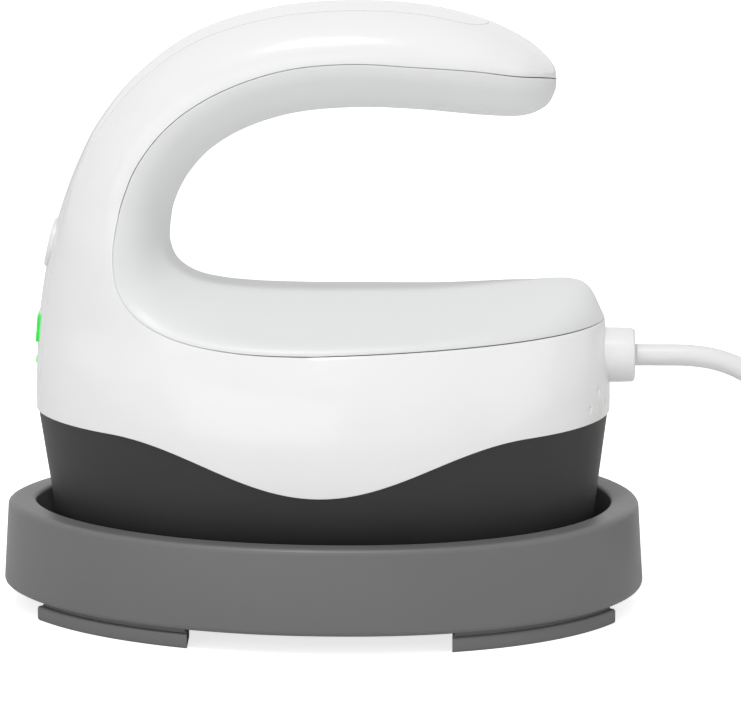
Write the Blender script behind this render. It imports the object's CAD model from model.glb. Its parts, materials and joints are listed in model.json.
import json
import math

import bmesh
import bpy
import numpy as np
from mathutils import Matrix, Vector


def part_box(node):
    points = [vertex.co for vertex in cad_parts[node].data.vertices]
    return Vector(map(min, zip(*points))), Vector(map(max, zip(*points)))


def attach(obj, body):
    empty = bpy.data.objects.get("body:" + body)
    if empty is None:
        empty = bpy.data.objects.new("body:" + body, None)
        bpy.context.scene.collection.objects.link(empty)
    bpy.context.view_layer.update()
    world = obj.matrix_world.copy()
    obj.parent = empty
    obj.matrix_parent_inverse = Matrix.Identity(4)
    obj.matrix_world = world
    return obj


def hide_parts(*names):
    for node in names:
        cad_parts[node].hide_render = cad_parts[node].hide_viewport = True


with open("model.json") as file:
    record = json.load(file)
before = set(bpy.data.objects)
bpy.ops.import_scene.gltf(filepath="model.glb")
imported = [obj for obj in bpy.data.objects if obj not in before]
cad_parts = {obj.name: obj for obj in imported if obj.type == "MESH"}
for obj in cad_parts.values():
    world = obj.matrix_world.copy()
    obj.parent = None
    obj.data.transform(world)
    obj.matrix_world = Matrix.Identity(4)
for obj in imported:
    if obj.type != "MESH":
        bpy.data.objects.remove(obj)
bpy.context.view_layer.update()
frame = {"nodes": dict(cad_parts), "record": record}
print("frame loaded")

mm = 0.001

# The photograph's view: the target stands at targetPixel, left of the picture's middle
photo = {"width": 741, "height": 721, "mmPerPixel": 0.207, "distance": 1.2,
         "azimuth": 1.8, "elevation": 12.2, "target": (0, 0, 60 * mm), "targetPixel": (323, 319.1)}


def addObject(name, data):
    thing = bpy.data.objects.new(name, data)
    bpy.context.collection.objects.link(thing)
    return thing


def makeCamera():
    a, e = math.radians(photo["azimuth"]), math.radians(photo["elevation"])
    back = Vector((math.sin(a) * math.cos(e), -math.cos(a) * math.cos(e), math.sin(e)))
    right = Vector((math.cos(a), math.sin(a), 0))
    up = back.cross(right)
    scale = photo["mmPerPixel"] * mm
    aim = (Vector(photo["target"]) + right * (photo["width"] / 2 - photo["targetPixel"][0]) * scale
           - up * (photo["height"] / 2 - photo["targetPixel"][1]) * scale)
    data = bpy.data.cameras.new("camera")
    data.sensor_width = 36
    data.lens = 36 * photo["distance"] / (photo["width"] * scale)
    data.clip_start, data.clip_end = 0.05, 20
    camera = addObject("camera", data)
    camera.location = Vector(photo["target"]) + back * photo["distance"]
    camera.rotation_euler = (camera.location - aim).to_track_quat("Z", "Y").to_euler()
    bpy.context.scene.camera = camera


makeCamera()
print("camera placed")


# Small helpers for the modelling operators
def clearSelection():
    if bpy.context.object and bpy.context.object.mode != "OBJECT":
        bpy.ops.object.mode_set(mode="OBJECT")
    bpy.ops.object.select_all(action="DESELECT")


def pick(piece):
    clearSelection()
    piece.select_set(True)
    bpy.context.view_layer.objects.active = piece


def openEdit(piece, select="SELECT", mode=""):
    pick(piece)
    bpy.ops.object.mode_set(mode="EDIT")
    if mode:
        bpy.ops.mesh.select_mode(type=mode)
    bpy.ops.mesh.select_all(action=select)


def closeEdit():
    bpy.ops.object.mode_set(mode="OBJECT")


def applyPlace(piece):
    pick(piece)
    bpy.ops.object.transform_apply(location=True, rotation=True, scale=True)


def settle(piece, node, body, slot, angle, name=""):
    # Finishes a piece: smooth below the angle, painted, its place in its mesh, riding on its body
    pick(piece)
    bpy.ops.object.shade_smooth_by_angle(angle=math.radians(angle))
    piece.data.materials.clear()
    piece.data.materials.append(finishes[slot])
    applyPlace(piece)
    words = node.split("_")
    piece.name = piece.data.name = name or words[0] + "".join(word.capitalize() for word in words[1:])
    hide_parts(node)
    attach(piece, body)
    return piece


def applyModifier(piece, kind, **settings):
    pick(piece)
    modifier = piece.modifiers.new(kind.lower(), kind)
    for key, value in settings.items():
        setattr(modifier, key, value)
    bpy.ops.object.modifier_apply(modifier=modifier.name)


def roundEdges(piece, width, angle=40, segments=3, keep=None):
    # Bevels the edges sharper than the angle, or those among them that keep() picks
    openEdit(piece, "DESELECT", "EDGE")
    mesh = bmesh.from_edit_mesh(piece.data)
    for edge in mesh.edges:
        sharp = edge.is_manifold and edge.calc_face_angle(0) > math.radians(angle)
        edge.select_set(sharp and (keep is None or keep(edge)))
    bmesh.update_edit_mesh(piece.data)
    bpy.ops.mesh.bevel(offset=width, segments=segments, profile=0.6, clamp_overlap=False)
    closeEdit()


def uprightEdge(edge):
    return abs(edge.verts[0].co.z - edge.verts[1].co.z) > 1 * mm


def cutWith(piece, cutters):
    for cutter in cutters:
        applyModifier(piece, "BOOLEAN", operation="DIFFERENCE", solver="EXACT", object=cutter)
    for cutter in cutters:
        bpy.data.objects.remove(cutter)


def addCylinder(radius, length, middle, direction, sides=64):
    clearSelection()
    turn = Vector(direction).to_track_quat("Z", "Y").to_euler()
    bpy.ops.mesh.primitive_cylinder_add(radius=radius, depth=length, vertices=sides,
                                        location=middle, rotation=turn)
    return bpy.context.object


def addBox(size, middle):
    clearSelection()
    bpy.ops.mesh.primitive_cube_add(size=1, location=middle)
    box = bpy.context.object
    box.scale = size
    applyPlace(box)
    return box


def addSheet(points):
    # A grid primitive, its corners moved onto a surface given row by row
    rows, columns = points.shape[:2]
    clearSelection()
    bpy.ops.mesh.primitive_grid_add(x_subdivisions=columns - 1, y_subdivisions=rows - 1, size=1)
    sheet = bpy.context.object
    sheet.data.vertices.foreach_set("co", points.reshape(-1))
    sheet.data.update()
    return sheet


def faceOut(piece, merge=0.000001, capped=False):
    # Merges corners that lie together, caps open ends if asked and turns the faces outwards
    openEdit(piece)
    bpy.ops.mesh.remove_doubles(threshold=merge)
    if capped:
        bpy.ops.mesh.fill_holes(sides=0)
    bpy.ops.mesh.normals_make_consistent(inside=False)
    closeEdit()


def addRings(rings, closed=False):
    # A sheet rolled up through rings of equal length, capped unless its last ring meets the first
    points = np.array(rings)
    points = np.concatenate([points, points[:, :1]], axis=1)
    if closed:
        points = np.concatenate([points, points[:1]])
    piece = addSheet(points)
    faceOut(piece, capped=not closed)
    return piece


def joined(pieces):
    pick(pieces[0])
    for other in pieces[1:]:
        other.select_set(True)
    bpy.ops.object.join()
    return bpy.context.object


# Materials, each with its own procedural surface
noiseRange = (0.3, 0.7)  # the part of a noise texture's values that the finishes use
plasticLook = {"mottleScale": 60, "bump": 0.05 * mm, "coatRoughness": 0.08}
metalLook = {"lineScale": 120, "shade": 0.15, "grain": 0.15, "bump": 0.02 * mm}


def startMaterial(name):
    material = bpy.data.materials.new(name)
    material.use_nodes = True
    nodes = material.node_tree.nodes
    return material, nodes, material.node_tree.links, nodes["Principled BSDF"]


def objectNoise(nodes, links, scale, detail=2.0, roughness=0.5, stretch=(1, 1, 1)):
    place = nodes.new("ShaderNodeTexCoord")
    mapping = nodes.new("ShaderNodeMapping")
    mapping.inputs["Scale"].default_value = stretch
    links.new(place.outputs["Object"], mapping.inputs["Vector"])
    noise = nodes.new("ShaderNodeTexNoise")
    noise.inputs["Scale"].default_value = scale
    noise.inputs["Detail"].default_value = detail
    noise.inputs["Roughness"].default_value = roughness
    links.new(mapping.outputs["Vector"], noise.inputs["Vector"])
    return noise


def glossBy(nodes, links, shader, value, low, high):
    # Roughness from low to high by a noise
    step = nodes.new("ShaderNodeMapRange")
    step.inputs["From Min"].default_value, step.inputs["From Max"].default_value = noiseRange
    step.inputs["To Min"].default_value = low
    step.inputs["To Max"].default_value = high
    links.new(value, step.inputs["Value"])
    links.new(step.outputs["Result"], shader.inputs["Roughness"])


def colorBy(nodes, links, shader, value, color, shade):
    # Colour by a noise, from one that is darker by the shade to the full one
    ramp = nodes.new("ShaderNodeValToRGB")
    low, high = ramp.color_ramp.elements
    low.color, high.color = (*(c * (1 - shade) for c in color), 1), (*color, 1)
    low.position, high.position = noiseRange
    links.new(value, ramp.inputs["Fac"])
    links.new(ramp.outputs["Color"], shader.inputs["Base Color"])
    return ramp.outputs["Color"]


def addBump(nodes, links, shader, height, strength, distance):
    bump = nodes.new("ShaderNodeBump")
    bump.inputs["Strength"].default_value = strength
    bump.inputs["Distance"].default_value = distance
    links.new(height, bump.inputs["Height"])
    links.new(bump.outputs["Normal"], shader.inputs["Normal"])


def plastic(name, color, roughness, grain, grainSize, shade=0.03, coat=0.0, sheen=0.0, shine=0.5):
    # Moulded plastic: faint mottling in colour and gloss, and a fine grain
    material, nodes, links, shader = startMaterial(name)
    mottle = objectNoise(nodes, links, plasticLook["mottleScale"], 3).outputs["Fac"]
    colorBy(nodes, links, shader, mottle, color, shade)
    glossBy(nodes, links, shader, mottle, roughness * 0.9, roughness * 1.1)
    fine = objectNoise(nodes, links, 1 / grainSize, 1)
    addBump(nodes, links, shader, fine.outputs["Fac"], grain, plasticLook["bump"])
    shader.inputs["Coat Weight"].default_value = coat
    shader.inputs["Coat Roughness"].default_value = plasticLook["coatRoughness"]
    shader.inputs["Specular IOR Level"].default_value = shine
    shader.inputs["Sheen Weight"].default_value = sheen
    return material


def brushedMetal(name, color, roughness, stretch=(1, 40, 40)):
    material, nodes, links, shader = startMaterial(name)
    lines = objectNoise(nodes, links, metalLook["lineScale"], 2, 0.6, stretch).outputs["Fac"]
    colorBy(nodes, links, shader, lines, color, metalLook["shade"])
    glossBy(nodes, links, shader, lines, roughness * 0.8, roughness * 1.25)
    addBump(nodes, links, shader, lines, metalLook["grain"], metalLook["bump"])
    shader.inputs["Metallic"].default_value = 1
    return material


def glowing(name, color, strength):
    material, nodes, links, shader = startMaterial(name)
    spots = objectNoise(nodes, links, 700, 1).outputs["Fac"]
    links.new(colorBy(nodes, links, shader, spots, color, 0.15), shader.inputs["Emission Color"])
    shader.inputs["Emission Strength"].default_value = strength
    shader.inputs["Roughness"].default_value = 0.25
    return material


finishes = {
    "shell_white": plastic("shellWhite", (0.86, 0.86, 0.86), 0.2, 0.02, 0.0008, shade=0.01, coat=0.3),
    "inner_white": plastic("innerWhite", (0.78, 0.79, 0.785), 0.42, 0.10, 0.0004, shade=0.015),
    "strip_white": plastic("stripWhite", (0.87, 0.87, 0.87), 0.24, 0.02, 0.0008, shade=0.01, coat=0.3),
    "button_white": plastic("buttonWhite", (0.80, 0.80, 0.80), 0.3, 0.03, 0.0005, shade=0.015),
    "light_green": glowing("lightGreen", (0.02, 0.6, 0.05), 0.5),
    "bracket_grey": plastic("bracketGrey", (0.62, 0.62, 0.62), 0.5, 0.1, 0.0004),
    "board_green": plastic("boardGreen", (0.02, 0.16, 0.06), 0.35, 0.05, 0.0003),
    "switch_black": plastic("switchBlack", (0.02, 0.02, 0.02), 0.45, 0.1, 0.0003),
    "emitter": plastic("emitterYellow", (0.75, 0.75, 0.5), 0.3, 0.02, 0.0003),
    "steel": brushedMetal("steel", (0.62, 0.62, 0.63), 0.3),
    "skirt_grey": plastic("skirtGrey", (0.045, 0.045, 0.046), 0.45, 0.12, 0.00035, shade=0.05, shine=0.2),
    "plate_metal": brushedMetal("plateMetal", (0.55, 0.55, 0.56), 0.33, (40, 1, 40)),
    "element_mica": plastic("elementMica", (0.5, 0.42, 0.26), 0.4, 0.3, 0.002, shade=0.2),
    "brass": brushedMetal("brass", (0.78, 0.57, 0.22), 0.28),
    "sensor_glass": plastic("sensorBead", (0.02, 0.02, 0.05), 0.15, 0.02, 0.0005),
    "blanket_fibre": plastic("blanketFibre", (0.78, 0.75, 0.66), 0.95, 1.0, 0.0007, shade=0.12, sheen=0.3),
    "component": plastic("component", (0.03, 0.03, 0.035), 0.4, 0.1, 0.0004),
    "wire": plastic("wireRed", (0.35, 0.02, 0.02), 0.4, 0.05, 0.0006),
    "gland_white": plastic("glandWhite", (0.84, 0.84, 0.84), 0.28, 0.03, 0.0006, shade=0.015),
    "cord_white": plastic("cordWhite", (0.82, 0.82, 0.82), 0.38, 0.05, 0.0004, shade=0.015),
    "tie_black": plastic("tieBlack", (0.015, 0.015, 0.015), 0.9, 0.9, 0.0005, sheen=0.4),
    "plug_white": plastic("plugWhite", (0.80, 0.80, 0.80), 0.42, 0.08, 0.0004, shade=0.02),
    "base_grey": plastic("baseGrey", (0.15, 0.15, 0.152), 0.42, 0.14, 0.00035, shade=0.03),
    "pad_grey": plastic("padGrey", (0.022, 0.022, 0.023), 0.75, 0.5, 0.0008, shade=0.08, shine=0.2),
    "foot_grey": plastic("footGrey", (0.15, 0.15, 0.152), 0.6, 0.2, 0.0004, shade=0.04),
}

slotOfNode = {s["node"]: s["material_slot"] for s in frame["record"]["subparts"]}
for nodeName, node in frame["nodes"].items():
    for slot in node.material_slots:
        slot.material = finishes[slotOfNode[nodeName]]
print("materials made")

# The lead: its route, its coil and its tail, in millimetres and degrees
cord = {
    "diameter": 4.5,
    "out": [
        (63.4, 0, 52.8), (70, 0, 52.8), (76, 0, 52.7), (82, 0.1, 51.7), (87.8, 0.2, 49.2),
        (93, 0.4, 45.2), (97.4, 0.7, 40), (101, 1.1, 34), (104, 1.8, 27.6), (107, 3, 21.2),
        (110.6, 5, 15.2), (115, 7.7, 10.3), (119.9, 10.2, 6.8), (124.7, 12.1, 4.6),
        (129.3, 13.2, 3.4), (133.5, 13.7, 2.95)],
    "tail": [
        (169.3, 49.5, 17.95), (169.3, 54, 18), (168.5, 59.6, 18.3), (166.3, 64.9, 18.9),
        (162.9, 69.5, 19.7), (158.3, 73, 20.5), (153, 75.3, 21.2), (147.3, 76, 22),
        (141.6, 75.2, 23), (136.3, 73, 24.3), (131.8, 69.5, 26), (128.3, 65.1, 27.2),
        (126, 61.1, 27.4)],
    "before": 6.6,  # from the exit back to the point that sets its direction
    "coilMiddle": (138, 45), "coilBase": 2.95, "innerRadius": 18.5, "pitch": 5,
    "layers": 4, "layerTurn": 922.5, "start": -90, "climb": 180, "stepsPerLoop": 48,
}


def between(a, b, c, d, f):
    # The point at share f of the way from b to c, on a smooth curve through a, b, c and d
    return 0.5 * (2 * b + (c - a) * f + (2 * a - 5 * b + 4 * c - d) * f ** 2
                  + (3 * b - a - 3 * c + d) * f ** 3)


def smoothPath(points, before, after, steps=4):
    # A smooth curve through points chosen by hand, between one neighbour at each end
    table = np.array([before, *points, after], float)
    path = [between(*table[i - 1:i + 3], k / steps) for i in range(1, len(table) - 2) for k in range(steps)]
    return path + [table[-2]]


def coilPath():
    turned = cord["layers"] * cord["layerTurn"]
    wide = cord["innerRadius"] + cord["pitch"] * cord["layerTurn"] / 360
    count = math.ceil(turned / 360 * cord["stepsPerLoop"])
    path = []
    for i in range(count + 1):
        t = turned * i / count
        layer = min(cord["layers"] - 1, int(t // cord["layerTurn"]))
        across = cord["pitch"] * (t - layer * cord["layerTurn"]) / 360
        radius = wide - across if layer % 2 == 0 else cord["innerRadius"] + across
        change = min(max(round(t / cord["layerTurn"]), 1), cord["layers"] - 1)
        part = min(max((t - change * cord["layerTurn"]) / cord["climb"] + 0.5, 0), 1)
        level = change - 1 + (1 - math.cos(math.pi * part)) / 2
        a = math.radians(cord["start"] + t)
        path.append(np.array((cord["coilMiddle"][0] + radius * math.cos(a),
                              cord["coilMiddle"][1] + radius * math.sin(a),
                              cord["coilBase"] + cord["pitch"] * level)))
    return path


def makeCord():
    coil = coilPath()
    exitPoint, last, previous = (np.array(cord[part][k], float)
                                 for part, k in (("out", 0), ("tail", -1), ("tail", -2)))
    out = smoothPath(cord["out"], exitPoint - (cord["before"], 0, 0), coil[0])
    tail = smoothPath(cord["tail"], coil[-1], 2 * last - previous)
    path = [p * mm for p in out + coil + tail]
    data = bpy.data.curves.new("lead", "CURVE")
    data.dimensions = "3D"
    data.bevel_depth = cord["diameter"] * mm / 2
    data.bevel_resolution = 5
    data.use_fill_caps = True
    line = data.splines.new("POLY")
    line.points.add(len(path) - 1)
    for point, place in zip(line.points, path):
        point.co = (*place, 1)
    lead = addObject("lead", data)
    lead.data.materials.append(finishes["cord_white"])
    length = float(sum(np.linalg.norm(b - a) for a, b in zip(path, path[1:])))
    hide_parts("power_cord", "cord_coil", "cord_tail")
    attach(lead, "press")
    return lead, length, path


lead, leadLength, leadPath = makeCord()
print("lead laid,", round(leadLength, 3), "m")

# The skin of the press, in millimetres. Each row is a section of the C: its outer edge (x, z), its
# fullest line (x, z) and its half width there, with heights above the heated face
body = {
    "rows": [
        [-58.9, 20, 3, 20, 38.3], [-59.4, 28, 3, 28, 38.8], [-59.5, 36, 2.5, 36, 38.2],
        [-59.3, 44, 1.5, 44, 35.8], [-58.8, 52, -3.5, 52, 31], [-57.7, 60, -19, 60, 25.8],
        [-56.1, 68, -34, 68, 20.8], [-53.8, 76, -39.4, 76, 18.2], [-50.6, 84.5, -39.3, 82.6, 17.5],
        [-46.1, 93.3, -35.2, 90.3, 17.1], [-38.2, 103, -28.6, 97.2, 16.6],
        [-26.5, 111.6, -19, 102.9, 16.3], [-11.8, 116.6, -7, 106.8, 16], [4, 118.4, 6, 108.1, 16],
        [19.5, 117.8, 19, 107.5, 15.9], [32, 115, 31, 106.6, 15.2], [40.6, 111.2, 39.3, 105.2, 12.6],
        [45.3, 107.7, 44.3, 104.3, 8.6], [47.5, 105, 47.1, 103.4, 4], [48, 102.6, 48, 102.6, 0]],
    "rearRows": [[58.9, 20], [59.3, 28], [59.5, 36], [59.2, 44], [58.1, 54.3]],  # rear edge (x, z)
    "firstRow": 20, "rowStep": 8,  # height of the first row, and between the level ones
    "face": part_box("heating_plate")[0].z / mm,
    "frontShape": (0.96, 1.14), "rearShape": (0.94, 1.02), "roundRow": 6,
    "wall": 2, "seamGap": 0.14, "rim": 0.13, "tipKept": 1.2,  # no rounding this near the tip
}
seam = {
    # where the inner cover leaves the fullest line and sweeps down the column and along the deck
    "rows": [[-35.2, 90.3], [-39.3, 82.6], [-41.3, 75.7], [-42.2, 68.6], [-41.2, 61.8],
             [-36.8, 56.5], [-28.7, 53], [-16.2, 51.2], [0.4, 50.8], [17, 50.9]],
    "leaves": 8,  # the row where it does
    # from this place on, the cover's lines come down to the spine lower, in the end at this row
    "slantFrom": 12, "slantRow": 3.3,
}
wave = {"top": 33.3, "dip": 10.3, "length": 86, "row": 1.3}  # lower edge of the white covers
tipRow = len(body["rows"]) - 1
deckRow = (seam["rows"][-2][1] - body["firstRow"]) / body["rowStep"]
deckPlace = tipRow - seam["leaves"] + len(seam["rows"]) - 3


def mix(a, b, share):
    return a + (b - a) * share


def curveThrough(table):
    # A smooth curve through the rows of a table, as a function of the row
    rows = np.array(table, float)
    rows = np.vstack([2 * rows[0] - rows[1], rows, 2 * rows[-1] - rows[-2]])

    def at(place):
        place = np.asarray(place, float)
        i = np.clip(np.floor(place).astype(int), 0, len(table) - 2)
        return between(*(rows[i + k] for k in range(4)), (place - i)[..., None])
    return at


bodyRow = curveThrough(body["rows"])
rearRow = curveThrough(body["rearRows"])
seamRow = curveThrough(seam["rows"])


def shapePowers(ahead, row):
    # How full a section's outline is, along and across: 1 and 1, an ellipse, in front from roundRow up
    share = np.clip(row / body["roundRow"], 0, 1)
    return [np.where(ahead, mix(front, 1, share), rear)
            for front, rear in zip(body["frontShape"], body["rearShape"])]


def skin(turn, row):
    # A point of the outer skin: turn goes from the spine (0) past the widest
    # line (90, near side) to the rear end (180), and row is the section
    turn, row = np.broadcast_arrays(turn, row)
    c, s = np.cos(np.radians(turn)), np.sin(np.radians(turn))
    r, rear = bodyRow(row), rearRow(np.minimum(row, len(body["rearRows"]) - 1))
    along, across = shapePowers(c > 0, row)
    reach = np.abs(c) ** along
    x = mix(r[..., 2], np.where(c > 0, r[..., 0], rear[..., 0]), reach)
    z = mix(r[..., 3], np.where(c > 0, r[..., 1], rear[..., 1]), reach)
    y = -np.sign(s) * r[..., 4] * np.abs(s) ** across
    return np.stack([x, y, z + body["face"]], axis=-1)


def skinOut(turn, row):
    # Outward direction of the skin, from small steps along it
    turn, row = np.broadcast_arrays(turn, row)
    row = np.minimum(row, tipRow - 0.05)
    r = bodyRow(row)
    core = np.stack([r[..., 2], 0 * row, r[..., 3] + body["face"]], axis=-1)
    normal = np.cross(skin(turn + 0.4, row) - skin(turn - 0.4, row),
                      skin(turn, row + 0.02) - skin(turn, row - 0.02))
    inward = np.sum(normal * (skin(turn, row) - core), axis=-1, keepdims=True) < 0
    return np.where(inward, -normal, normal) / np.linalg.norm(normal, axis=-1, keepdims=True)


def spineTurn(y, row, ahead=True):
    # Turn from the spine at which the skin is y away from the middle plane
    half = np.maximum(bodyRow(row)[..., 4], 0.01)
    across = shapePowers(ahead, row)[1]
    return np.degrees(np.arcsin(np.minimum(1, y / half) ** (1 / across)))


def rearTurn(y, row):
    return 180 - spineTurn(y, row, False)


def seamPlace(u):
    # Turn and row of the seam, from the handle's tip (0) to the deck
    u = np.asarray(u, float)
    leaves = tipRow - seam["leaves"]
    p = seamRow(np.maximum(u - leaves + 1, 0))
    # between the last level row and the first that fans out, the fullest line gives the row
    lowSide, highSide = body["rows"][seam["leaves"] - 1][3], body["rows"][seam["leaves"]][3]
    fanned = seam["leaves"] - 1 + (p[..., 1] - lowSide) / (highSide - lowSide)
    row = np.where(p[..., 1] > lowSide, fanned, (p[..., 1] - body["firstRow"]) / body["rowStep"])
    r = bodyRow(row)
    share = np.clip((r[..., 2] - p[..., 0]) / (r[..., 2] - r[..., 0]), 0, 1)
    turn = np.degrees(np.arccos(share ** (1 / shapePowers(True, row)[0])))
    return np.where(u <= leaves, 90, turn), np.where(u <= leaves, tipRow - u, row)


def spineRow(u):
    # Row at which a line of the cover reaches the spine
    start, edge = seam["slantFrom"], seamPlace(u)[1]
    slanted = mix(seamPlace(start)[1], seam["slantRow"], (u - start) / (deckPlace - start))
    return np.where(u <= start, edge, slanted)


def waveRow(turn):
    x = skin(turn, wave["row"])[..., 0]
    dip = np.where(np.abs(x) < wave["length"] / 2, np.cos(np.pi * x / wave["length"]) ** 2, 0)
    return (wave["top"] - wave["dip"] * dip - body["firstRow"]) / body["rowStep"]


# The strip along the spine, from row low to row high, and the two outer covers beside it
strip = {"width": 13, "low": 2.2, "high": 15.2, "thick": 1.6, "highStep": 12, "rows": 260, "columns": 22,
         "easing": 0.85, "cut": 12}
cover = {"tipRows": 40, "upperRows": 190, "endRows": 8, "lowerRows": 22, "endSteps": 16,
         "columns": 84}  # columns in front of the widest line, and behind it


def stripHalf(row):
    # Half width of the strip along the spine, with round ends
    r = strip["width"] / 2
    d = np.minimum((row - strip["low"]) * body["rowStep"], (strip["high"] - row) * strip["highStep"])
    return np.sqrt(np.maximum(r * r - (r - np.clip(d, 0, r)) ** 2, 0))


def closeSteps(start, end, steps):
    # Steps that follow a quarter circle, close together at its start
    return [mix(start, end, 1 - math.cos(math.pi / 2 * k / steps)) for k in range(steps)]


def coverPlaces():
    # Turn and row of each corner of the near cover, from the handle's tip to its lower edge
    top = tipRow - strip["high"]
    topEnd = top + strip["width"] / 2 / strip["highStep"]
    u = np.array([*np.linspace(0, top, cover["tipRows"], endpoint=False),
                  *closeSteps(top, topEnd, cover["endSteps"]),
                  *np.linspace(topEnd, deckPlace, cover["upperRows"])])
    last = float(spineRow(deckPlace))
    end = float(waveRow(0))
    lowEnd = (last - strip["low"]) / (last - end)
    lowStart = lowEnd - strip["width"] / 2 / body["rowStep"] / (last - end)
    closing = closeSteps(lowStart, lowEnd, cover["endSteps"])
    low = np.array([*np.linspace(0, lowStart, cover["endRows"])[1:],
                    *[lowEnd + lowStart - v for v in closing[:0:-1]],
                    *np.linspace(lowEnd, 1, cover["lowerRows"])])
    places = np.concatenate([u, np.full(len(low), float(deckPlace))])
    drop = np.concatenate([np.zeros(len(u)), low])[:, None]
    edgeTurn, edgeRow = seamPlace(places)
    near = mix(spineRow(places)[:, None], end, drop)
    first = spineTurn(stripHalf(near) + body["seamGap"] / 2, near)
    f = np.linspace(0, 1, cover["columns"] + 1)
    front = mix(first, edgeTurn[:, None], f)
    rearward = mix(90, rearTurn(body["seamGap"] / 2, near), f[1:])
    flatTop = (np.arange(len(places)) < len(u) - 1)[:, None]
    rearward = np.where(flatTop, edgeTurn[:, None], rearward)
    turn = np.concatenate([front, rearward], axis=1)
    share = np.concatenate([f, np.ones(cover["columns"])])
    upper = mix(spineRow(places)[:, None], edgeRow[:, None], share)
    return turn, mix(upper, waveRow(turn), drop), len(u)


def dropFaces(piece, columns, keep):
    # Deletes the cells of a grid that keep(row, column) leaves out
    openEdit(piece, "DESELECT", "FACE")
    mesh = bmesh.from_edit_mesh(piece.data)
    for face in mesh.faces:
        face.select_set(not keep(face.index // columns, face.index % columns))
    bmesh.update_edit_mesh(piece.data)
    bpy.ops.mesh.delete(type="FACE")
    bpy.ops.mesh.select_mode(type="VERT")
    closeEdit()


def thicken(piece, wall, place, outward):
    # Gives a skin its wall on the inside, where outward is its direction at a known place
    faceOut(piece, 0.000002)
    data = piece.data
    known = min(data.polygons, key=lambda face: (face.center - Vector(place) * mm).length)
    if known.normal.dot(Vector(outward)) < 0:
        data.flip_normals()
    skinCorners = len(data.vertices)
    openEdit(piece)
    bpy.ops.mesh.region_to_loop()
    bpy.ops.mesh.mark_seam()
    closeEdit()
    applyModifier(piece, "SOLIDIFY", thickness=wall * mm, offset=-1, use_even_offset=False)
    return skinCorners


def roundRim(piece, skinCorners, tip):
    def onRim(edge):
        ours = edge.seam and all(v.index < skinCorners for v in edge.verts)
        return ours and (edge.verts[0].co - tip).length > body["tipKept"] * mm
    roundEdges(piece, body["rim"] * mm, 30, 2, onRim)


def addCover():
    turn, row, upper = coverPlaces()
    sheet = addSheet(skin(turn, row) * mm)
    columns = turn.shape[1] - 1
    dropFaces(sheet, columns, lambda j, i: i < cover["columns"] or j >= upper - 1)
    corners = thicken(sheet, body["wall"], (0, -45, 40), (0, -1, 0))
    # the wall's inner side stays on this side of the middle plane
    for corner in sheet.data.vertices[corners:]:
        corner.co.y = min(corner.co.y, -body["seamGap"] / 2 * mm)
    roundRim(sheet, corners, Vector(skin(90, tipRow) * mm))
    return sheet


# The collar that the lead leaves by, in its hole through the covers' rear end, and the vents under it
collar = {"height": 44.7, "x": 59.2, "length": 5.4, "diameter": 11.3, "inside": 3.4, "hole": 0.1,
          "recess": 1.2, "recessDiameter": 7.1, "flange": 1.6, "flangeDiameter": 14.3,
          "shelfLength": 11, "shelfThick": 3, "shelfEdge": 0.3, "fit": 0.05, "straight": 1.4,
          "taper": 0.1, "round": 0.9, "mouthRound": 0.25, "fineRound": 0.2, "cut": 16}
vents = {"places": [(7.3, 36.7), (14.6, 36.7), (11, 39.9)], "width": 2, "height": 2.7, "deep": 1.1}


def ventCutter(y, height):
    # A four-sided dimple, y away from the middle line of the rear end
    row = (height - body["firstRow"]) / body["rowStep"]
    turn = rearTurn(y, row)
    place, out = skin(turn, row), Vector(skinOut(turn, row))
    clearSelection()
    bpy.ops.mesh.primitive_cone_add(vertices=4, radius1=0, radius2=vents["height"] * mm,
                                    depth=2 * vents["deep"] * mm)
    cone = bpy.context.object
    cone.scale = (1, vents["width"] / vents["height"], 1)
    applyPlace(cone)
    level = Vector((out.x, out.y, 0)).normalized()
    cone.rotation_euler = (0, math.pi / 2, math.atan2(level.y, level.x))
    cone.location = Vector(place) * mm
    applyPlace(cone)
    return cone


def makeCovers():
    near = addCover()
    height = (body["face"] + collar["height"]) * mm
    hole = addCylinder((collar["diameter"] / 2 + collar["hole"]) * mm, collar["cut"] * mm,
                       (collar["x"] * mm, 0, height), (1, 0, 0))
    cutWith(near, [joined([hole] + [ventCutter(y, z) for y, z in vents["places"]])])
    pick(near)
    bpy.ops.object.duplicate()
    far = bpy.context.object
    bpy.ops.transform.mirror(constraint_axis=(False, True, False), center_override=(0, 0, 0))
    applyPlace(far)
    faceOut(far, 0.0000001)  # the mirror turned it inside out
    settle(near, "left_cover", "press", "shell_white", 34)
    settle(far, "right_cover", "press", "shell_white", 34)


makeCovers()
print("outer covers made")

inner = {
    # the inner cover's middle line (x, z), from the handle's tip round the C and along the deck
    "rows": [[48, 102.6], [47.7, 100.1], [45.8, 97], [41, 95.1], [32.5, 95.3], [20, 96.4],
             [7.5, 96.8], [-5, 95.7], [-15, 92.7], [-22.5, 88.3], [-27.5, 82.8], [-30.4, 77],
             [-31.4, 72], [-31.4, 67.6], [-29.5, 63.4], [-25, 60.2], [-18.5, 58.4], [-9.5, 57.3],
             [2, 56.9], [22.5, 57.2], [40.5, 59.2], [53.3, 60], [58.3, 52.8]],
    "steps": 286, "columns": 76,
}
innerRow = curveThrough(inner["rows"])


def seamPoint(u):
    end = len(inner["rows"]) - 1
    turn, row = seamPlace(np.minimum(u, deckPlace))
    behind = 90 + 90 * (u - deckPlace) / (end - deckPlace)
    return skin(np.where(u <= deckPlace, turn, behind), np.where(u <= deckPlace, row, deckRow))


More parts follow.
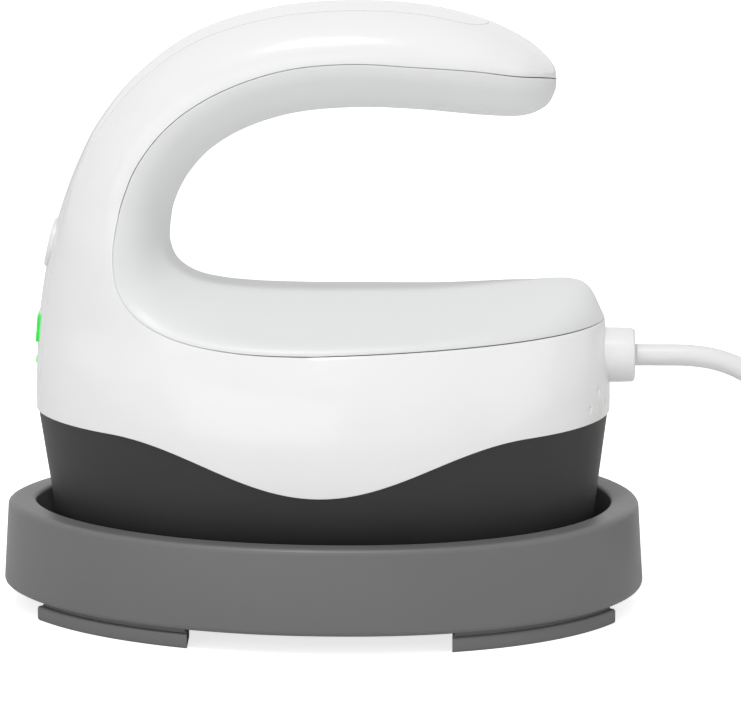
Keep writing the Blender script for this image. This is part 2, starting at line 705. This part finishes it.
def makeInnerCover():
    end = len(inner["rows"]) - 1
    u = np.linspace(0, end, inner["steps"] + 1)[:, None]
    s, m = seamPoint(u), innerRow(u)
    middleZ = m[..., 1] + body["face"]
    reach = np.maximum(np.hypot(s[..., 0] - m[..., 0], s[..., 2] - middleZ), 0.01)
    edge = 90 - np.degrees(np.arcsin(np.minimum(1, body["seamGap"] / reach)))
    turn = np.radians(mix(-edge, edge, np.linspace(0, 1, inner["columns"] + 1)))
    k = np.cos(turn)
    points = np.stack([mix(s[..., 0], m[..., 0], k), -s[..., 1] * np.sin(turn),
                       mix(s[..., 2], middleZ, k)], axis=-1)
    sheet = addSheet(points * mm)
    corners = thicken(sheet, body["wall"], (2, 0, 65), (0, 0, 1))
    roundRim(sheet, corners, Vector(skin(90, tipRow) * mm))
    settle(sheet, "inner_cover", "press", "inner_white", 40)


makeInnerCover()
print("inner cover made")

# The button and the lights in the strip. Each gap is on every side, and the button's crown is
# (share of its radius, dip, rounding)
button = {"row": 6, "diameter": 10.4, "proud": 0.6, "dome": 0.2, "edge": 0.7, "gap": 0.1,
          "flange": 1.0, "flangeWide": 0.9, "flangeTop": -5.5, "flangeEdge": 0.15,
          "nubDiameter": 3.2, "nubLength": 1.2, "nubEdge": 0.3, "crown": (0.55, 0.05, 0.8)}
lights = {"proud": 0.2, "levelRow": 3.8, "levelWide": 7.4, "levelHigh": 5.8, "levelCorner": 0.9,
          "levelEdge": 0.15, "lampRow": 2.9, "lampDiameter": 1.6, "lampEdge": 0.25, "lampStart": 0.2,
          "gap": 0.1, "depth": 7}


def onSpine(row):
    # Place and outward direction of a point on the spine
    return Vector(skin(0, row) * mm), Vector(skinOut(0, row))


def standOnSpine(piece, row):
    # Turns a piece made upright at the origin so that it stands out of the spine
    place, out = onSpine(row)
    piece.rotation_euler = (0, math.atan2(out.x, out.z), 0)
    piece.location = place
    applyPlace(piece)
    return piece


def roundedCorners(corners, steps=5):
    # A polyline of (radius, height, rounding), its corners turned into arcs
    line = []
    for i, (r, h, size) in enumerate(corners):
        here = Vector((r, h))
        if not size or i in (0, len(corners) - 1):
            line.append((r, h))
            continue
        before = Vector(corners[i - 1][:2]) - here
        after = Vector(corners[i + 1][:2]) - here
        start, end = here + before.normalized() * size, here + after.normalized() * size
        for k in range(steps + 1):
            f = k / steps
            p = start * (1 - f) ** 2 + here * 2 * f * (1 - f) + end * f ** 2
            line.append((p.x, p.y))
    return line


def turned(line, sides=96):
    # A round piece about +Z through (radius, height), extruded ring by ring from a circle
    clearSelection()
    radius, height = line[0]
    bpy.ops.mesh.primitive_circle_add(radius=radius * mm, vertices=sides, fill_type="NGON",
                                      location=(0, 0, height * mm))
    piece = bpy.context.object
    applyPlace(piece)
    openEdit(piece, "SELECT", "EDGE")
    for r, h in line[1:]:
        bpy.ops.mesh.extrude_region_move(TRANSFORM_OT_translate={"value": (0, 0, (h - height) * mm)})
        bpy.ops.transform.resize(value=(r / radius, r / radius, 1), center_override=(0, 0, h * mm))
        radius, height = r, h
    closeEdit()
    faceOut(piece)
    return piece


def makeStrip():
    steps = np.linspace(0, 1, strip["rows"] + 1)
    eased = (1 - np.cos(np.pi * steps)) / 2
    ends, least = 0.002, 0.03  # how far a round end stays from its point, and its least half width
    row = mix(strip["low"] + ends, strip["high"] - ends, mix(steps, eased, strip["easing"]))[:, None]
    half = np.maximum(least, stripHalf(row) - body["seamGap"] / 2)
    y = half * np.linspace(1, -1, strip["columns"] + 1)
    points = skin(spineTurn(np.abs(y), row) * np.sign(y), row)
    sheet = addSheet(points * mm)
    corners = thicken(sheet, strip["thick"], (-46, 0, 101), (-1, 0, 1))
    roundRim(sheet, corners, Vector((0, 0, 0)))
    deep = strip["cut"] * mm
    hole = addCylinder((button["diameter"] / 2 + button["gap"]) * mm, deep, (0, 0, 0), (0, 0, 1), 96)
    standOnSpine(hole, button["row"])
    lamp = addCylinder((lights["lampDiameter"] / 2 + lights["gap"]) * mm, deep, (0, 0, 0), (0, 0, 1), 48)
    standOnSpine(lamp, lights["lampRow"])
    window = addBox([(lights["levelHigh"] + 2 * lights["gap"]) * mm,
                     (lights["levelWide"] + 2 * lights["gap"]) * mm, deep], (0, 0, 0))
    roundEdges(window, lights["levelCorner"] * mm, 40, 6, uprightEdge)
    standOnSpine(window, lights["levelRow"])
    cutWith(sheet, [joined([hole, lamp, window])])
    settle(sheet, "spine_strip", "press", "strip_white", 34)


def makeButton():
    top, r, nub = button["proud"], button["diameter"] / 2, button["nubDiameter"] / 2
    low = button["flangeTop"]
    under, wide = low - button["flange"], r + button["flangeWide"]
    crown, dip, blend = button["crown"]
    line = roundedCorners([
        (nub - button["nubEdge"], under - button["nubLength"], 0),
        (nub, under - button["nubLength"] + button["nubEdge"], 0), (nub, under, 0),
        (wide, under, button["flangeEdge"]), (wide, low, button["flangeEdge"]), (r, low, 0),
        (r, top - button["dome"], button["edge"]), (r * crown, top - dip, blend), (0.05, top, 0)])
    piece = standOnSpine(turned(line), button["row"])
    settle(piece, "power_button", "button", "button_white", 30)


def makeLights():
    # The level light stands square out of the strip, the lamp is a round pin
    deep, gap, proud = lights["depth"], lights["gap"], lights["proud"]
    level = addBox([lights["levelHigh"] * mm, lights["levelWide"] * mm, deep * mm], (0, 0, -deep / 2 * mm))
    roundEdges(level, (lights["levelCorner"] - gap) * mm, 40, 6, uprightEdge)
    roundEdges(level, lights["levelEdge"] * mm, 60, 2,
               lambda edge: min(corner.co.z for corner in edge.verts) > -gap * mm)
    standOnSpine(level, lights["levelRow"])
    level.location = onSpine(lights["levelRow"])[1] * proud * mm
    settle(level, "level_light", "press", "light_green", 30)
    r = lights["lampDiameter"] / 2
    lamp = turned(roundedCorners([(r * 0.8, -deep, 0), (r, -deep + lights["lampStart"], 0),
                                  (r, proud, lights["lampEdge"]), (0.02, proud, 0)]), 48)
    standOnSpine(lamp, lights["lampRow"])
    settle(lamp, "power_light", "press", "light_green", 30)


makeStrip()
makeButton()
makeLights()
print("strip, button and lights made")


def makeBushing():
    height, fit, fine = body["face"] + collar["height"], collar["fit"], collar["fineRound"]
    start, long = collar["x"] - collar["inside"], collar["length"] + collar["inside"]
    hole, mouth, flange, r = (d / 2 for d in (cord["diameter"] + 2 * fit, collar["recessDiameter"],
                                              collar["flangeDiameter"], collar["diameter"]))
    # heights run along +X from the flange inside the covers to the mouth and back down the hole
    line = roundedCorners([
        (hole, -collar["flange"], 0), (flange, -collar["flange"], fine), (flange, 0, fine), (r + fit, 0, 0),
        (r + fit, collar["inside"] + collar["straight"], 0), (r - collar["taper"], long, collar["round"]),
        (mouth, long, collar["mouthRound"]), (mouth - collar["taper"], long - collar["recess"], fine),
        (hole, long - collar["recess"], 0.15), (hole, -collar["flange"] + 0.01, 0)], 6)
    ring = turned(line)
    ring.rotation_euler = (0, math.pi / 2, 0)
    ring.location = (start * mm, 0, height * mm)
    shelf = addBox([collar["shelfLength"] * mm, collar["diameter"] * mm, collar["shelfThick"] * mm],
                   ((start - collar["flange"] - collar["shelfLength"] / 2 + 1) * mm, 0,
                    (height - r + collar["shelfThick"] / 2) * mm))
    roundEdges(shelf, collar["shelfEdge"] * mm)
    settle(joined([ring, shelf]), "cord_bushing", "press", "gland_white", 30)


makeBushing()
print("collar made")

skirt = {"step": 0.4, "wall": 2, "lift": 2, "plateGap": 0.8, "under": 0.1, "columns": 192, "rows": 26,
         "bottomRound": 0.5}
plate = {"length": 104, "width": 58, "thick": 6, "middle": 3, "shift": 0.4, "edge": 0.5, "columns": 160,
         "rim": 12}  # rim: from the edge in to the flat middle's ring


def egg(front, rear, middle, half, height, turn):
    # An egg-shaped outline: the two ends, the x of its widest line and its half width
    c, s = np.cos(np.radians(turn)), np.sin(np.radians(turn))
    along = np.where(c > 0, body["frontShape"][0], body["rearShape"][0])
    across = np.where(c > 0, body["frontShape"][1], body["rearShape"][1])
    x = mix(middle, np.where(c > 0, front, rear), np.abs(c) ** along)
    y = -np.sign(s) * half * np.abs(s) ** across
    return np.stack([x, y, np.full_like(x, 0) + height], axis=-1)


def plateEdge(out, height, turn):
    return egg(plate["shift"] - plate["length"] / 2 - out, plate["shift"] + plate["length"] / 2 + out,
               plate["middle"], plate["width"] / 2 + out, height, turn)


def skirtTop(inset, turn):
    half = np.where(turn <= 180, turn, 360 - turn)
    row = waveRow(half)
    p, out = skin(half, row), skinOut(half, row)
    level = out * (1, 1, 0)
    p = p - inset * level / np.linalg.norm(level, axis=-1, keepdims=True)
    p[..., 1] *= np.where(turn <= 180, 1, -1)
    return p - (0, 0, skirt["under"])


def makeSkirt():
    turn = np.arange(skirt["columns"]) * 360 / skirt["columns"]

    def ring(share, inset):
        foot = plateEdge(skirt["plateGap"] + skirt["wall"] - inset, body["face"] + skirt["lift"], turn)
        return mix(skirtTop(skirt["step"] + inset, turn), foot, share) * mm

    edge = skirt["bottomRound"]
    outer = [ring(k / skirt["rows"], 0) for k in range(skirt["rows"])]
    down = [ring(1, edge * (1 - math.cos(a))) - np.array((0, 0, edge * (math.sin(a) - 1))) * mm
            for a in np.radians([0, 30, 60, 90])]
    inside = [ring(1 - k / 4, skirt["wall"]) for k in range(5)]
    piece = addRings(outer + down + inside, closed=True)
    settle(piece, "skirt", "press", "skirt_grey", 40, "skirtShell")


def makePlate():
    turn = np.arange(plate["columns"]) * 360 / plate["columns"]
    rim, edge, thick = plate["rim"], plate["edge"], plate["thick"]
    line = roundedCorners([(rim, 0, 0), (0, 0, edge), (0, thick, edge), (rim, thick, 0)], 4)
    piece = addRings([plateEdge(-inward, body["face"] + height, turn) * mm for inward, height in line])
    settle(piece, "heating_plate", "press", "plate_metal", 30)


makeSkirt()
makePlate()
print("skirt and plate made")

base = {"length": 133.4, "width": 90, "height": 22, "rimEnd": 6.8, "rimSide": 5.6, "draft": 0.9,
        "foot": 4, "floor": 2.2, "middle": 4, "underIn": 11, "underThick": 1, "underEdge": 0.2,
        "wallSlope": 1.2, "floorRim": 3, "outerRound": 1.3, "innerRound": 0.8, "padThick": 1.8,
        "padIn": 3, "padRim": 14, "padEdge": 0.5, "columns": 224}
feet = {"inset": 0.8, "width": 9, "neck": 0.9, "steps": 40, "edge": 0.6, "squareFrom": 0.8,
        "marks": {"front_left_foot": (27, 65), "front_right_foot": (-65, -27),
                  "rear_left_foot": (110.8, 156), "rear_right_foot": (204, 249.2)},
        "bore": 2.73, "boreDeep": 2, "boresAt": (0.25, 0.75)}  # boresAt: shares of a foot's span


def baseEdge(inward, height, turn):
    # The base's outline, drawn in by a distance that grows towards the two ends
    e = inward * base["rimEnd"] / base["rimSide"]
    return egg(-base["length"] / 2 + e, base["length"] / 2 - e, base["middle"],
               base["width"] / 2 - inward, height, turn) * mm


def makeBase():
    turn = np.arange(base["columns"]) * 360 / base["columns"]
    foot, top, side, under = base["foot"], base["height"], base["rimSide"], base["underIn"]
    floor, outer, inside = foot + base["floor"], base["outerRound"], base["innerRound"]
    line = roundedCorners([
        (under, foot + base["underThick"], 0), (under, foot, base["underEdge"]), (0, foot, outer),
        (base["draft"], top, outer), (side, top, inside), (side + base["wallSlope"], floor, inside),
        (under + base["floorRim"], floor, 0)], 6)
    tray = addRings([baseEdge(inward, height, turn) for inward, height in line])
    settle(tray, "base_tray", "base", "base_grey", 40)
    start, high = side + base["padIn"], floor + base["padThick"]
    line = roundedCorners([(start + base["padRim"], floor, 0), (start, floor, 0),
                           (start, high, base["padEdge"]), (start + base["padRim"], high, 0)], 4)
    pad = addRings([baseEdge(inward, height, turn) for inward, height in line])
    settle(pad, "base_pad", "base", "pad_grey", 40)


def screwBore(turn):
    # The sunk hole under a foot that takes a screw's head
    x, y, z = baseEdge(feet["width"] / 2, 0, np.array(turn))
    return addCylinder(feet["bore"] * mm, 2 * feet["boreDeep"] * mm, (x, y, 0), (0, 0, 1), 40)


def squareEnd(turn, inward):
    # A foot's end beside the middle of the press is cut square across, so its turn changes inwards
    if abs(math.sin(math.radians(turn))) < feet["squareFrom"]:
        return turn
    ahead = math.cos(math.radians(turn)) > 0
    reach = (-1 if ahead else 1) * (base["length"] / 2 - inward * base["rimEnd"] / base["rimSide"])
    x = baseEdge(feet["inset"], 0, np.array(turn))[0] / mm
    along = body["frontShape" if ahead else "rearShape"][0]
    c = math.degrees(math.acos(((x - base["middle"]) / (reach - base["middle"])) ** (1 / along)))
    return math.copysign(c, turn) if ahead else 180 + math.copysign(c, turn - 180)


def makeFoot(node, start, end):
    # A curved block under the rim, with a neck where it meets the tray
    high, neck, edge = base["foot"], feet["neck"], feet["edge"]
    near, far, step = feet["inset"], feet["inset"] + feet["width"], high - neck
    line = roundedCorners([(near + neck, high, 0), (near + neck, step, 0), (near, step, edge),
                           (near, 0, edge), (far, 0, edge), (far, step, edge),
                           (far - neck, step, 0), (far - neck, high, 0)], 3)
    rings = []
    for inward, height in line:
        drawn = neck if height > step + 0.001 else 0
        span = squareEnd(start + drawn, inward), squareEnd(end - drawn, inward)
        rings.append(baseEdge(inward, height, np.linspace(*span, feet["steps"] + 1)))
    block = addRings(np.swapaxes(np.array(rings), 0, 1))
    cutWith(block, [joined([screwBore(mix(start, end, share)) for share in feet["boresAt"]])])
    settle(block, node, "base", "foot_grey", 40)


makeBase()
for footNode, footSpan in feet["marks"].items():
    makeFoot(footNode, *footSpan)
print("base made")

# The plug is drawn along +X from the lead's end: its ribbed relief, its handle and its blades.
# The swell and nose rows are (place from the handle's near or far end, share of full size, rounding)
plug = {"turn": 240, "thick": 14.2, "wide": 23, "length": 24, "square": 0.5,
        "swell": [(0, 0.45, 0), (0.2, 0.62, 0), (4, 0.86, 0.8), (11, 0.97, 2)],
        "nose": [(-6, 1, 2), (-1.2, 1, 0), (-0.3, 0.98, 0), (0, 0.94, 0)],
        "relief": 14, "reliefRadius": 5, "wall": 0.8, "lip": (0.4, 0.3), "ribs": 5, "ribFrom": 1.6,
        "ribSpare": 2, "ribDeep": 0.5, "ribWide": 1.1, "ribSlope": 0.25,
        "blade": (17, 1.5, 6.3), "bladeGap": 12.7, "bladeEdge": 0.5, "bladeTip": 15,
        "hole": 3.2, "holeAt": 13}
tie = {"turn": 300, "width": 9, "thick": 0.6, "round": 1.6, "edge": 0.15, "gap": 0.2, "step": 15}


def standAtPlug(piece):
    piece.rotation_euler = (0, 0, math.radians(plug["turn"]))
    piece.location = Vector(cord["tail"][-1]) * mm
    applyPlace(piece)


def plugRing(x, grow, sides=64):
    # A rounded rectangle across the plug, grow times its full size
    a = np.radians(np.arange(sides) * 360 / sides)
    y, z = (np.sign(v) * np.abs(v) ** plug["square"] * size / 2 * grow
            for v, size in ((np.cos(a), plug["wide"]), (np.sin(a), plug["thick"])))
    return np.stack([np.full(sides, x), y, z], axis=-1) * mm


def makePlug():
    start, end = plug["relief"], plug["relief"] + plug["length"]
    across = roundedCorners([(start + x, grow, size) for x, grow, size in plug["swell"]]
                            + [(end + x, grow, size) for x, grow, size in plug["nose"]], 4)
    handle = addRings([plugRing(x, grow) for x, grow in across])
    low, high, deep = cord["diameter"] / 2 + plug["wall"], plug["reliefRadius"], plug["ribDeep"]
    wide, slope = plug["ribWide"], plug["ribSlope"]
    line = [(low - plug["lip"][0], 0), (low, plug["lip"][1])]
    for i in range(plug["ribs"]):
        x = plug["ribFrom"] + i * (start - plug["ribSpare"]) / plug["ribs"]
        r = mix(low, high, x / start)
        line += [(r, x), (r - deep, x + slope), (r - deep, x + wide - slope), (r, x + wide)]
    relief = turned(line + [(high, start), (high * 0.9, start + 1)], 64)
    relief.rotation_euler = (0, math.pi / 2, 0)
    applyPlace(relief)
    piece = joined([handle, relief])
    standAtPlug(piece)
    settle(piece, "plug_body", "press", "plug_white", 30)
    blades = []
    for y in (-plug["bladeGap"] / 2 * mm, plug["bladeGap"] / 2 * mm):
        blade = addBox(Vector(plug["blade"]) * mm, ((end + plug["blade"][0] / 2) * mm, y, 0))
        roundEdges(blade, plug["bladeEdge"] * mm, 40, 2,
                   lambda edge: min(corner.co.x for corner in edge.verts) > (end + plug["bladeTip"]) * mm)
        hole = addCylinder(plug["hole"] / 2 * mm, 6 * mm, ((end + plug["holeAt"]) * mm, y, 0), (0, 1, 0), 40)
        cutWith(blade, [hole])
        blades.append(blade)
    pins = joined(blades)
    standAtPlug(pins)
    settle(pins, "plug_pins", "press", "brass", 30)
    return piece, pins


def makeTie():
    # A strap round the coil, its corners rounded where it bends
    low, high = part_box("cord_tie")
    thick, r, half, edge = tie["thick"], tie["round"], tie["width"] / 2, tie["edge"]
    wide = cord["innerRadius"] + cord["pitch"] * cord["layerTurn"] / 360
    spare = cord["diameter"] / 2 + tie["gap"]
    near, far = cord["innerRadius"] - spare + r, wide + spare - r
    bottom, top = low.z / mm + thick + r, high.z / mm - thick - r
    profile = [(r, -half), (r + thick, edge - half), (r + thick, half - edge), (r, half)]
    rings = []
    for k, (x, z) in enumerate([(near, bottom), (far, bottom), (far, top), (near, top)]):
        for a in np.radians(180 + 90 * k + np.arange(0, 91, tie["step"])):
            rings.append(np.array([(x + out * math.cos(a), y, z + out * math.sin(a))
                                   for out, y in profile]) * mm)
    band = addRings(rings, closed=True)
    band.rotation_euler = (0, 0, math.radians(tie["turn"]))
    band.location = (cord["coilMiddle"][0] * mm, cord["coilMiddle"][1] * mm, 0)
    return settle(band, "cord_tie", "press", "tie_black", 40)


plugBody, plugPins = makePlug()
cordTie = makeTie()
print("plug and tie made")

# Floor, light and background; the floor and the world are lighter where the camera sees them
floorLook = {"size": 30, "color": (0.9, 0.9, 0.9, 1), "roughness": 0.9, "glow": 0.75}
worldLook = {"light": 0.55, "seen": 1.0}
lamps = {  # place and size in metres, and power in watts
    "aim": (0, 0, 0.06),
    "keyLight": ((-0.15, -0.55, 1.25), (0.16, 0.16), 6.3),
    "frontLight": ((-0.5, -1.3, 0.4), (1.1, 0.8), 2.4),
    "fillLight": ((1.2, -0.6, 0.5), (0.7, 0.9), 1),
}


def addMath(nodes, links, operation, first, second):
    step = nodes.new("ShaderNodeMath")
    step.operation = operation
    links.new(first, step.inputs[0])
    if isinstance(second, float):
        step.inputs[1].default_value = second
    else:
        links.new(second, step.inputs[1])
    return step.outputs["Value"]


def makeFloor():
    clearSelection()
    bpy.ops.mesh.primitive_plane_add(size=floorLook["size"])
    floor = bpy.context.object
    floor.name = "floor"
    material, nodes, links, shader = startMaterial("floorWhite")
    shader.inputs["Base Color"].default_value = floorLook["color"]
    shader.inputs["Roughness"].default_value = floorLook["roughness"]
    shader.inputs["Specular IOR Level"].default_value = 0
    shader.inputs["Emission Color"].default_value = (1, 1, 1, 1)
    rays = nodes.new("ShaderNodeLightPath").outputs
    links.new(addMath(nodes, links, "MULTIPLY", rays["Is Camera Ray"], floorLook["glow"]),
              shader.inputs["Emission Strength"])
    floor.data.materials.append(material)


def makeWorld():
    world = bpy.data.worlds.new("studio")
    bpy.context.scene.world = world
    world.use_nodes = True
    nodes, links = world.node_tree.nodes, world.node_tree.links
    background = nodes["Background"].inputs
    rays = nodes.new("ShaderNodeLightPath").outputs
    seen = addMath(nodes, links, "MAXIMUM", rays["Is Camera Ray"], rays["Is Glossy Ray"])
    through = addMath(nodes, links, "MAXIMUM", seen, rays["Is Transmission Ray"])
    level = nodes.new("ShaderNodeMapRange")
    level.inputs["To Min"].default_value = worldLook["light"]
    level.inputs["To Max"].default_value = worldLook["seen"]
    links.new(through, level.inputs["Value"])
    background["Color"].default_value = (1, 1, 1, 1)
    links.new(level.outputs["Result"], background["Strength"])


def addLamp(name, place, size, power):
    data = bpy.data.lights.new(name, "AREA")
    data.shape = "RECTANGLE"
    data.size, data.size_y = size
    data.energy = power
    lamp = addObject(name, data)
    lamp.location = place
    lamp.rotation_euler = (Vector(place) - Vector(lamps["aim"])).to_track_quat("Z", "Y").to_euler()


makeFloor()
makeWorld()
for lampName in ("keyLight", "frontLight", "fillLight"):
    addLamp(lampName, *lamps[lampName])
bpy.context.scene.view_settings.view_transform = "Standard"
print("lights set")
